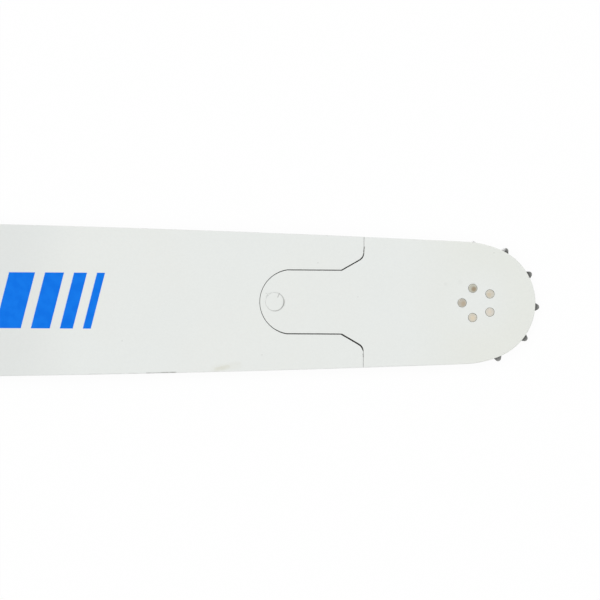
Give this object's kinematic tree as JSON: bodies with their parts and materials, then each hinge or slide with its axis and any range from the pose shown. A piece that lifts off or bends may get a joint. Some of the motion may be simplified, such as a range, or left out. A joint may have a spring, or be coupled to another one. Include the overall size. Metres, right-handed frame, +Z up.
{
  "type": "chainsaw guide bar",
  "caption": "Long flat guide bar for a chainsaw, grooved along both rails, with a stud slot at the tail and a riveted nose that holds a toothed sprocket on rollers.",
  "frame": {"origin": "centre of the stud slot, on the face that the bar lies on", "axes": "+X along the bar to the nose, +Y across to one rail, +Z up through the thickness"},
  "size_m": [1.017, 0.0796, 0.0048],
  "materials": {
    "white_paint": "smooth white paint with a slight green-grey tint, on flat ground steel",
    "blue_print": "flat bars of blue ink, printed on the white paint of the upper face",
    "plate_steel": "bare rolled steel inside the nose",
    "rivet_steel": "flush ground rivet heads, slightly tarnished",
    "sprocket_steel": "dark hardened steel",
    "bearing_steel": "bright ground bearing steel"
  },
  "bodies": {
    "bar": {"bar_body": "white_paint", "nose_plate_upper": "white_paint", "nose_plate_lower": "white_paint", "nose_core": "plate_steel", "bearing_race": "bearing_steel", "hub_rivets": "rivet_steel", "tip_rivet": "white_paint"},
    "sprocket": {"nose_sprocket": "sprocket_steel"},
    "roller_set": {"bearing_roller_01": "bearing_steel", "bearing_roller_02": "bearing_steel", "bearing_roller_03": "bearing_steel", "bearing_roller_04": "bearing_steel", "bearing_roller_05": "bearing_steel", "bearing_roller_06": "bearing_steel", "bearing_roller_07": "bearing_steel", "bearing_roller_08": "bearing_steel", "bearing_roller_09": "bearing_steel", "bearing_roller_10": "bearing_steel", "bearing_roller_11": "bearing_steel", "bearing_roller_12": "bearing_steel", "bearing_roller_13": "bearing_steel", "bearing_roller_14": "bearing_steel", "bearing_roller_15": "bearing_steel", "bearing_roller_16": "bearing_steel", "bearing_roller_17": "bearing_steel", "bearing_roller_18": "bearing_steel", "bearing_roller_19": "bearing_steel", "bearing_roller_20": "bearing_steel", "bearing_roller_21": "bearing_steel", "bearing_roller_22": "bearing_steel", "bearing_roller_23": "bearing_steel", "bearing_roller_24": "bearing_steel", "bearing_roller_25": "bearing_steel", "bearing_roller_26": "bearing_steel"}
  },
  "joints": [
    {"name": "sprocket_spin", "type": "hinge", "parent": "bar", "child": "sprocket", "pos_m": [0.93, 0, 0.0024], "axis": [0, 0, 1], "continuous": true},
    {"name": "roller_orbit", "type": "hinge", "parent": "bar", "child": "roller_set", "pos_m": [0.93, 0, 0.0024], "axis": [0, 0, 1], "continuous": true}
  ],
  "couplings": [
    {"joint": "roller_orbit", "follows": "sprocket_spin", "ratio": 0.559}
  ]
}
